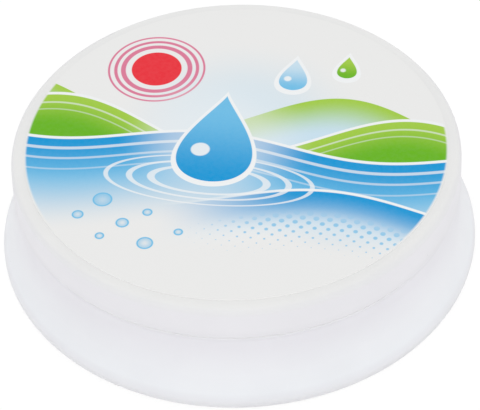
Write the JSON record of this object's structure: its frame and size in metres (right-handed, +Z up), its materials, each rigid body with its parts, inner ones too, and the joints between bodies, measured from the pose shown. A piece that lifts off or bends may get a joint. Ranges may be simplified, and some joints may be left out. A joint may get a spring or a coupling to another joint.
{
  "type": "finger moistener",
  "caption": "Low round tub of finger-moistening wax with a flared skirt and a push-on lid under a round printed label. The lid lifts off so that a fingertip can be rubbed on the wax.",
  "frame": {"origin": "centre of the foot ring, on the surface that the tub stands on", "axes": "+Z up along the tub's axis, +Y towards the top of the label's design and +X to its right"},
  "size_m": [0.062, 0.062, 0.0161],
  "materials": {
    "tub_plastic": "satin, milky translucent polypropylene",
    "wax": "soft cast moistening wax",
    "lid_plastic": "satin, milky translucent polypropylene",
    "label_print": "printed film with a satin varnish"
  },
  "bodies": {
    "tub": {"base_tub": "tub_plastic", "wax_cake": "wax"},
    "lid": {"lid": "lid_plastic", "lid_label": "label_print"}
  },
  "joints": [
    {"name": "lid_lift", "type": "slide", "parent": "tub", "child": "lid", "axis": [0, 0, 1], "range_m": [0, 0.04]}
  ]
}
